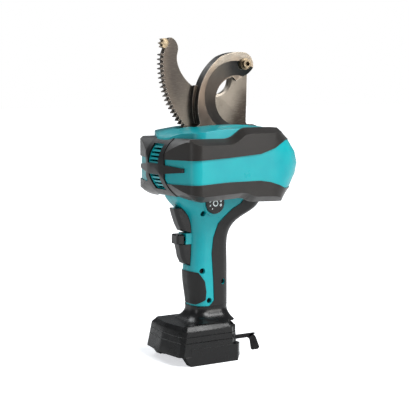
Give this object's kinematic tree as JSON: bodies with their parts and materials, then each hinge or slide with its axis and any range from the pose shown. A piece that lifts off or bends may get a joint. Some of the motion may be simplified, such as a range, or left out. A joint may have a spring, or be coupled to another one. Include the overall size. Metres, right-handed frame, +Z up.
{
  "type": "cordless cable cutter",
  "caption": "Cordless cable cutter with a toothed sickle blade, hook jaw, wide teal head, pistol grip and battery foot.",
  "frame": {"origin": "centre of the battery foot's underside, on the tool's mid-plane", "axes": "+Z up along the grip, the tool faces -Y, its left side is +X"},
  "size_m": [0.126, 0.1753, 0.3548],
  "materials": {
    "housing_teal": "moulded, fine texture",
    "bumper_dark": "soft moulded, satin",
    "frame_black": "moulded",
    "grip_rubber": "stippled",
    "foot_black": "semi-gloss moulded",
    "control_black": "polished",
    "blade_steel": "ground",
    "jaw_steel": "forged, ground near face",
    "bolt_brass": "zinc plated",
    "fastener_steel": "blackened",
    "gear_steel": "machined, oiled",
    "motor_metal": "turned",
    "board_green": "lacquered",
    "contact_brass": "plated"
  },
  "bodies": {
    "root": {"belt_hook": "fastener_steel", "bumper_lower": "bumper_dark", "bumper_upper": "bumper_dark", "controller_board": "board_green", "far_plate": "gear_steel", "fixed_jaw": "jaw_steel", "foot_base": "foot_black", "foot_cap": "foot_black", "foot_screws": "fastener_steel", "front_pad": "grip_rubber", "gearbox": "motor_metal", "grip_rubber": "grip_rubber", "hinge_bolt": "bolt_brass", "hinge_nut": "fastener_steel", "hook_screw": "fastener_steel", "housing": "housing_teal", "housing_screws": "fastener_steel", "lower_spring": "fastener_steel", "motor_can": "motor_metal", "near_plate": "gear_steel", "nose_grille": "frame_black", "plate_studs": "fastener_steel", "release_lever": "control_black", "shaft_bearings": "gear_steel", "switch_unit": "control_black", "terminal_block": "foot_black", "terminals": "contact_brass", "top_cover": "housing_teal", "upper_spring": "fastener_steel"},
    "blade": {"moving_blade": "blade_steel", "tail_key": "bolt_brass"},
    "pinion": {"pinion_shaft": "gear_steel"},
    "drive": {"drive_shaft": "gear_steel"},
    "rotor": {"motor_rotor": "motor_metal"},
    "upper_trigger": {"upper_trigger": "control_black"},
    "lower_trigger": {"lower_trigger": "control_black"},
    "lock": {"lock_button": "control_black"},
    "dial": {"speed_dial": "control_black"}
  },
  "joints": [
    {"name": "blade_hinge", "type": "hinge", "parent": "root", "child": "blade", "pos_m": [0, 0.052, 0.327], "axis": [1, 0, 0], "range_deg": [-26, 90]},
    {"name": "pinion_turn", "type": "hinge", "parent": "root", "child": "pinion", "pos_m": [0, 0.04996, 0.21822], "axis": [1, 0, 0], "continuous": true},
    {"name": "drive_turn", "type": "hinge", "parent": "root", "child": "drive", "pos_m": [0, 0.0206, 0.21035], "axis": [1, 0, 0], "continuous": true},
    {"name": "rotor_turn", "type": "hinge", "parent": "root", "child": "rotor", "pos_m": [0, 0.0206, 0.21035], "axis": [1, 0, 0], "continuous": true},
    {"name": "upper_trigger_slide", "type": "slide", "parent": "root", "child": "upper_trigger", "axis": [0, 1, 0], "range_m": [0, 0.006], "stiffness_N_per_m": 300, "springref_m": -0.004, "deforming": ["upper_spring"]},
    {"name": "lower_trigger_slide", "type": "slide", "parent": "root", "child": "lower_trigger", "axis": [0, 1, 0], "range_m": [0, 0.005], "stiffness_N_per_m": 300, "springref_m": -0.004, "deforming": ["lower_spring"]},
    {"name": "lock_slide", "type": "slide", "parent": "root", "child": "lock", "axis": [1, 0, 0], "range_m": [-0.0025, 0.0025]},
    {"name": "dial_turn", "type": "hinge", "parent": "root", "child": "dial", "pos_m": [0.02, 0.006, 0.175], "axis": [1, 0, 0], "range_deg": [-140, 140]}
  ],
  "couplings": [
    {"joint": "pinion_turn", "follows": "blade_hinge", "ratio": -8.7143},
    {"joint": "drive_turn", "follows": "blade_hinge", "ratio": 9.6825},
    {"joint": "rotor_turn", "follows": "blade_hinge", "ratio": 38.73}
  ]
}
